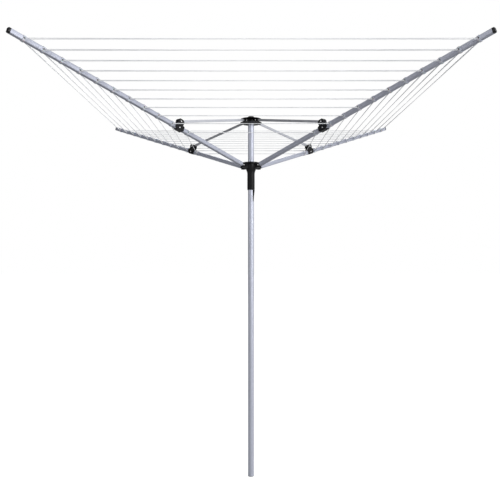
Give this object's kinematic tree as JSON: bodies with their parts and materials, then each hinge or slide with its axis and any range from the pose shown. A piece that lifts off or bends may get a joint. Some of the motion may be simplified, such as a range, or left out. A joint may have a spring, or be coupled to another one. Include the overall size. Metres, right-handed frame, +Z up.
{
  "type": "rotary clothesline",
  "caption": "Open rotary clothesline: an upright mast, a turning hub, a sliding runner, four raised arms on struts, and one line threaded through the arms in square rows.",
  "frame": {"origin": "middle of the mast's foot, where it stands in its ground socket", "axes": "+Z up the mast, -Y the front, the four arms on the diagonals between X and Y"},
  "size_m": [2.1128, 2.1128, 2.3245],
  "materials": {
    "satin_tube": "satin silver tube",
    "grey_strut": "satin dark grey bar",
    "black_plastic": "moulded black plastic",
    "grey_plastic": "moulded grey plastic",
    "bright_steel": "bright steel",
    "line": "grey plastic-coated line"
  },
  "bodies": {
    "mast": {"mast_tube": "satin_tube", "mast_foot_plug": "grey_plastic", "mast_top_plug": "black_plastic", "hub_washer": "bright_steel", "hub_screw": "bright_steel", "latch_pin": "bright_steel", "latch_spring": "bright_steel"},
    "hub": {"top_hub": "black_plastic", "hub_cap": "black_plastic", "hub_rivet_front_left": "bright_steel", "hub_rivet_front_right": "bright_steel", "hub_rivet_rear_right": "bright_steel", "hub_rivet_rear_left": "bright_steel", "clothes_line": "line"},
    "runner": {"runner": "black_plastic", "runner_rivet_front_left": "bright_steel", "runner_rivet_front_right": "bright_steel", "runner_rivet_rear_right": "bright_steel", "runner_rivet_rear_left": "bright_steel"},
    "catch": {"latch_catch": "black_plastic"},
    "strut_front_left": {"strut_front_left": "grey_strut"},
    "arm_front_left": {"arm_tube_front_left": "satin_tube", "arm_root_fitting_front_left": "black_plastic", "arm_end_cap_front_left": "black_plastic", "bracket_front_left": "black_plastic", "bracket_rivet_front_left": "bright_steel", "strut_rivet_front_left": "bright_steel"},
    "strut_front_right": {"strut_front_right": "grey_strut"},
    "arm_front_right": {"arm_tube_front_right": "satin_tube", "arm_root_fitting_front_right": "black_plastic", "arm_end_cap_front_right": "black_plastic", "bracket_front_right": "black_plastic", "bracket_rivet_front_right": "bright_steel", "strut_rivet_front_right": "bright_steel"},
    "strut_rear_right": {"strut_rear_right": "grey_strut"},
    "arm_rear_right": {"arm_tube_rear_right": "satin_tube", "arm_root_fitting_rear_right": "black_plastic", "arm_end_cap_rear_right": "black_plastic", "bracket_rear_right": "black_plastic", "bracket_rivet_rear_right": "bright_steel", "strut_rivet_rear_right": "bright_steel"},
    "strut_rear_left": {"strut_rear_left": "grey_strut"},
    "arm_rear_left": {"arm_tube_rear_left": "satin_tube", "arm_root_fitting_rear_left": "black_plastic", "arm_end_cap_rear_left": "black_plastic", "bracket_rear_left": "black_plastic", "bracket_rivet_rear_left": "bright_steel", "strut_rivet_rear_left": "bright_steel"}
  },
  "joints": [
    {"name": "hub_spin", "type": "hinge", "parent": "mast", "child": "hub", "pos_m": [0, 0, 2.14], "axis": [0, 0, 1], "continuous": true},
    {"name": "runner_slide", "type": "slide", "parent": "hub", "child": "runner", "axis": [0, 0, -1], "range_m": [0, 0.7464], "deforming": ["clothes_line", "latch_catch"]},
    {"name": "strut_fold_front_left", "type": "hinge", "parent": "hub", "child": "strut_front_left", "pos_m": [-0.03182, -0.03182, 2.147], "axis": [0.7071, -0.7071, 0], "range_deg": [0, 80.72]},
    {"name": "arm_fold_front_left", "type": "hinge", "parent": "strut_front_left", "child": "arm_front_left", "pos_m": [-0.38505, -0.38505, 2.0612], "axis": [-0.7071, 0.7071, 0], "range_deg": [0, 152.52]},
    {"name": "strut_fold_front_right", "type": "hinge", "parent": "hub", "child": "strut_front_right", "pos_m": [0.03182, -0.03182, 2.147], "axis": [0.7071, 0.7071, 0], "range_deg": [0, 80.72]},
    {"name": "arm_fold_front_right", "type": "hinge", "parent": "strut_front_right", "child": "arm_front_right", "pos_m": [0.38505, -0.38505, 2.0612], "axis": [-0.7071, -0.7071, 0], "range_deg": [0, 152.52]},
    {"name": "strut_fold_rear_right", "type": "hinge", "parent": "hub", "child": "strut_rear_right", "pos_m": [0.03182, 0.03182, 2.147], "axis": [-0.7071, 0.7071, 0], "range_deg": [0, 80.72]},
    {"name": "arm_fold_rear_right", "type": "hinge", "parent": "strut_rear_right", "child": "arm_rear_right", "pos_m": [0.38505, 0.38505, 2.0612], "axis": [0.7071, -0.7071, 0], "range_deg": [0, 152.52]},
    {"name": "strut_fold_rear_left", "type": "hinge", "parent": "hub", "child": "strut_rear_left", "pos_m": [-0.03182, 0.03182, 2.147], "axis": [-0.7071, -0.7071, 0], "range_deg": [0, 80.72]},
    {"name": "arm_fold_rear_left", "type": "hinge", "parent": "strut_rear_left", "child": "arm_rear_left", "pos_m": [-0.38505, 0.38505, 2.0612], "axis": [0.7071, 0.7071, 0], "range_deg": [0, 152.52]},
    {"name": "catch_press", "type": "hinge", "parent": "mast", "child": "catch", "pos_m": [0.00766, -0.00643, 1.668], "axis": [-0.6428, -0.766, 0], "range_deg": [0, 7.8], "stiffness_Nm_per_rad": 0.8, "springref_deg": -5.73, "deforming": ["latch_spring"]}
  ],
  "couplings": [
    {"joint": "strut_fold_front_left", "follows": "runner_slide", "rad_per_m": 1.8874},
    {"joint": "arm_fold_front_left", "follows": "runner_slide", "rad_per_m": 3.5664},
    {"joint": "strut_fold_front_right", "follows": "runner_slide", "rad_per_m": 1.8874},
    {"joint": "arm_fold_front_right", "follows": "runner_slide", "rad_per_m": 3.5664},
    {"joint": "strut_fold_rear_right", "follows": "runner_slide", "rad_per_m": 1.8874},
    {"joint": "arm_fold_rear_right", "follows": "runner_slide", "rad_per_m": 3.5664},
    {"joint": "strut_fold_rear_left", "follows": "runner_slide", "rad_per_m": 1.8874},
    {"joint": "arm_fold_rear_left", "follows": "runner_slide", "rad_per_m": 3.5664}
  ]
}
